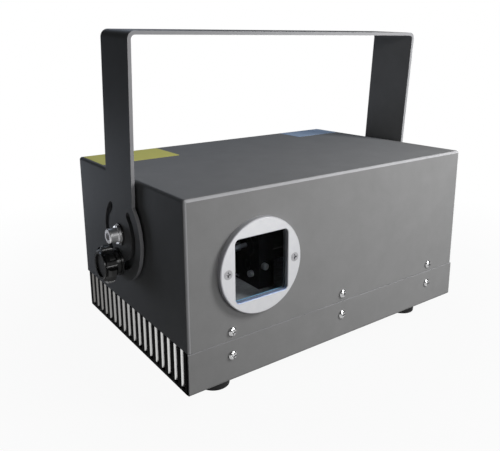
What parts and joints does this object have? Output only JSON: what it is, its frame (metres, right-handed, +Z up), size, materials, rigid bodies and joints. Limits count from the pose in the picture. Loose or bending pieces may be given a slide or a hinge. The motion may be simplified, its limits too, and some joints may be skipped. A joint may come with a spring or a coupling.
{
  "type": "laser show projector",
  "caption": "Box-shaped laser show projector with a round aperture ring, a square glass window, mirror scanners behind it, side vents, rubber feet and a tilting strap yoke with clamp knobs.",
  "frame": {"origin": "on the floor, under the middle of the whole object's box, from ring face to key end", "axes": "+Z up from the feet; the beam leaves along -Y through the aperture ring; +X along the yoke's tilt axis, to the right as seen from the front"},
  "size_m": [0.2796, 0.1928, 0.2237],
  "materials": {
    "grey_paint": "satin dark grey powder coat",
    "black_paint": "matt black powder coat",
    "ring_aluminium": "bead-blasted clear anodised",
    "plate_aluminium": "milled",
    "black_aluminium": "black anodised",
    "module_aluminium": "clear anodised",
    "supply_case": "folded sheet",
    "zinc_steel": "zinc plated",
    "nickel_steel": "nickel plated",
    "foot_rubber": "matt black",
    "window_glass": "polished",
    "scan_mirror": "front-silvered",
    "dichroic_glass": "coated",
    "circuit_board": "green solder mask",
    "black_plastic": "moulded",
    "knob_plastic": "moulded, gloss",
    "display_plastic": "tinted window",
    "contact_brass": "bright"
  },
  "bodies": {
    "chassis": {"top_cover": "grey_paint", "base_pan": "grey_paint", "vent_plate_left": "black_paint", "vent_plate_right": "black_paint", "rear_panel": "black_paint", "front_join_bar": "plate_aluminium", "rear_join_bar": "plate_aluminium", "seam_screws_front": "nickel_steel", "rear_panel_screws": "nickel_steel", "press_nuts": "zinc_steel", "foot_pads": "foot_rubber", "foot_screws": "zinc_steel", "aperture_ring": "ring_aluminium", "window_glass": "window_glass", "aperture_screws": "nickel_steel", "optical_base": "plate_aluminium", "optical_base_screws": "zinc_steel", "scanner_block": "black_aluminium", "scanner_screws": "nickel_steel", "galvo_x_motor": "module_aluminium", "galvo_y_motor": "module_aluminium", "laser_red": "black_aluminium", "laser_green": "black_aluminium", "laser_blue": "black_aluminium", "dichroic_holders": "module_aluminium", "dichroic_plates": "dichroic_glass", "power_supply": "supply_case", "galvo_driver": "circuit_board", "laser_driver": "circuit_board", "main_board": "circuit_board", "board_standoffs": "zinc_steel", "fan_frame": "black_plastic", "fan_guard": "nickel_steel", "fan_screws": "nickel_steel", "power_inlet": "black_plastic", "dmx_in": "black_plastic", "dmx_out": "black_plastic", "ilda_socket": "zinc_steel", "connector_pins": "contact_brass", "display": "display_plastic", "key_switch": "nickel_steel", "pivot_bolts": "nickel_steel", "pivot_spring_washers": "nickel_steel", "pivot_pads": "black_plastic", "pivot_plates": "zinc_steel"},
    "yoke": {"yoke": "grey_paint"},
    "stud_left": {"knob_stud_left": "zinc_steel"},
    "clamp_left": {"knob_left": "knob_plastic"},
    "stud_right": {"knob_stud_right": "zinc_steel"},
    "clamp_right": {"knob_right": "knob_plastic"},
    "scanner_x": {"galvo_x_shaft": "zinc_steel", "galvo_x_mirror": "scan_mirror"},
    "scanner_y": {"galvo_y_shaft": "zinc_steel", "galvo_y_mirror": "scan_mirror"},
    "fan": {"fan_rotor": "black_plastic"},
    "lock_key": {"key": "nickel_steel"},
    "button_1": {"menu_button_1": "black_plastic"},
    "button_2": {"menu_button_2": "black_plastic"},
    "button_3": {"menu_button_3": "black_plastic"},
    "button_4": {"menu_button_4": "black_plastic"}
  },
  "joints": [
    {"name": "yoke_tilt", "type": "hinge", "parent": "chassis", "child": "yoke", "pos_m": [0, -0.0124, 0.0921], "axis": [1, 0, 0], "range_deg": [-129, 148]},
    {"name": "knob_lift_left", "type": "slide", "parent": "chassis", "child": "stud_left", "axis": [-1, 0, 0], "range_m": [0, 0.0016]},
    {"name": "knob_turn_left", "type": "hinge", "parent": "stud_left", "child": "clamp_left", "pos_m": [-0.1263, -0.00768, 0.07164], "axis": [-1, 0, 0], "range_deg": [0, 720]},
    {"name": "knob_lift_right", "type": "slide", "parent": "chassis", "child": "stud_right", "axis": [1, 0, 0], "range_m": [0, 0.0016]},
    {"name": "knob_turn_right", "type": "hinge", "parent": "stud_right", "child": "clamp_right", "pos_m": [0.1263, -0.00768, 0.07164], "axis": [1, 0, 0], "range_deg": [0, 720]},
    {"name": "scan_x", "type": "hinge", "parent": "chassis", "child": "scanner_x", "pos_m": [-0.072, -0.0604, 0.0701], "axis": [0, 1, 0], "range_deg": [-12, 12]},
    {"name": "scan_y", "type": "hinge", "parent": "chassis", "child": "scanner_y", "pos_m": [-0.072, -0.0604, 0.0841], "axis": [1, 0, 0], "range_deg": [-12, 12]},
    {"name": "fan_spin", "type": "hinge", "parent": "chassis", "child": "fan", "pos_m": [0.08882, 0.0576, 0.0902], "axis": [0, 1, 0], "continuous": true},
    {"name": "key_turn", "type": "hinge", "parent": "chassis", "child": "lock_key", "pos_m": [-0.09496, 0.0676, 0.0902], "axis": [0, -1, 0], "range_deg": [0, 90]},
    {"name": "button_press_1", "type": "slide", "parent": "chassis", "child": "button_1", "axis": [0, -1, 0], "range_m": [0, 0.0012], "stiffness_N_per_m": 900},
    {"name": "button_press_2", "type": "slide", "parent": "chassis", "child": "button_2", "axis": [0, -1, 0], "range_m": [0, 0.0012], "stiffness_N_per_m": 900},
    {"name": "button_press_3", "type": "slide", "parent": "chassis", "child": "button_3", "axis": [0, -1, 0], "range_m": [0, 0.0012], "stiffness_N_per_m": 900},
    {"name": "button_press_4", "type": "slide", "parent": "chassis", "child": "button_4", "axis": [0, -1, 0], "range_m": [0, 0.0012], "stiffness_N_per_m": 900}
  ],
  "couplings": [
    {"joint": "knob_turn_left", "follows": "knob_lift_left", "rad_per_m": 7854},
    {"joint": "knob_turn_right", "follows": "knob_lift_right", "rad_per_m": 7854}
  ]
}
